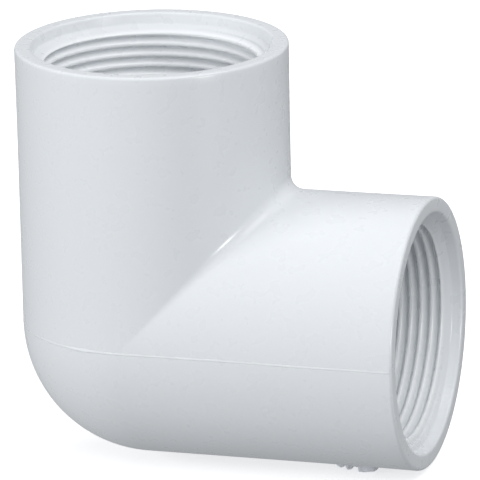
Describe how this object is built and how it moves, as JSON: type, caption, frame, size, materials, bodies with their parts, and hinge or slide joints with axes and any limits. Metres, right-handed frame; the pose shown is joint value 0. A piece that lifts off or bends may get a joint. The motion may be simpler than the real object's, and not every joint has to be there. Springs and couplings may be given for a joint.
{
  "type": "pipe elbow",
  "caption": "Moulded plastic 90 degree pipe elbow with a female parallel thread inside each of its two equal mouths.",
  "frame": {"origin": "where the two bore axes cross, which is the centre of the bend", "axes": "+Z along the upper port's axis, out of its mouth; +X along the side port's axis, out of its mouth; +Y square to both"},
  "size_m": [0.089, 0.0582, 0.0909],
  "materials": {
    "white_pvc": "as-moulded white PVC, satin gloss outside and in"
  },
  "bodies": {
    "root": {"bend": "white_pvc", "upper_socket": "white_pvc", "upper_thread": "white_pvc", "side_socket": "white_pvc", "side_thread": "white_pvc", "parting_line": "white_pvc", "gate_vestige": "white_pvc"}
  },
  "joints": []
}
